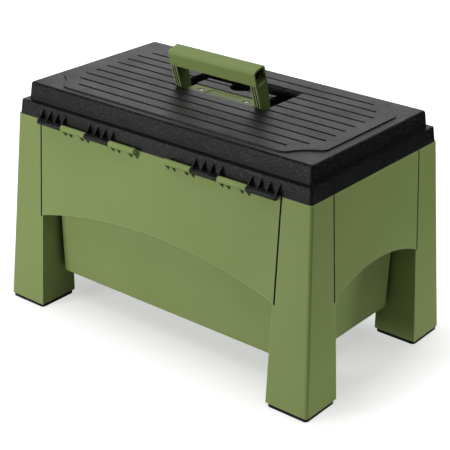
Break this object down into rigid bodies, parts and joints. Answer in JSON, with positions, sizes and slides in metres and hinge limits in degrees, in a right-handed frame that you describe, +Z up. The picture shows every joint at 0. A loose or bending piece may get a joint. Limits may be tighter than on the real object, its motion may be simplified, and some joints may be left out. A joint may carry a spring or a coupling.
{
  "type": "storage stool",
  "caption": "Step stool with a storage bin between flared hollow legs, a hinged ribbed tread lid, side latches and a carry handle that folds into a pocket in the lid.",
  "frame": {"origin": "on the floor, under the middle of the stool's footprint", "axes": "+X along the length, +Y towards the latch side away from the hinges, +Z up"},
  "size_m": [0.4874, 0.2914, 0.3549],
  "materials": {
    "green_plastic": "fine satin grain",
    "black_plastic": "moulded speckle grain",
    "black_rubber": "matte",
    "steel": "zinc plated"
  },
  "bodies": {
    "base": {"base_body": "green_plastic", "hinge_pin_left": "steel", "hinge_pin_right": "steel", "foot_cap_front_left": "black_rubber", "foot_cap_front_right": "black_rubber", "foot_cap_back_left": "black_rubber", "foot_cap_back_right": "black_rubber"},
    "lid": {"lid": "black_plastic", "handle_retainer_plate": "green_plastic", "retainer_screw_left": "steel", "retainer_screw_right": "steel", "latch_pin_left": "steel", "latch_pin_right": "steel"},
    "handle": {"handle": "green_plastic"},
    "latch_left": {"latch_left": "green_plastic"},
    "latch_right": {"latch_right": "green_plastic"}
  },
  "joints": [
    {"name": "lid_hinge", "type": "hinge", "parent": "base", "child": "lid", "pos_m": [0, -0.1364, 0.2607], "axis": [1, 0, 0], "range_deg": [0, 200]},
    {"name": "handle_fold", "type": "hinge", "parent": "lid", "child": "handle", "pos_m": [0, 0, 0.2927], "axis": [1, 0, 0], "range_deg": [-108.7, 0]},
    {"name": "latch_left_swing", "type": "hinge", "parent": "lid", "child": "latch_left", "pos_m": [-0.112, 0.13462, 0.2704], "axis": [1, 0, 0], "range_deg": [-7, 110]},
    {"name": "latch_right_swing", "type": "hinge", "parent": "lid", "child": "latch_right", "pos_m": [0.112, 0.13462, 0.2704], "axis": [1, 0, 0], "range_deg": [-7, 110]}
  ]
}
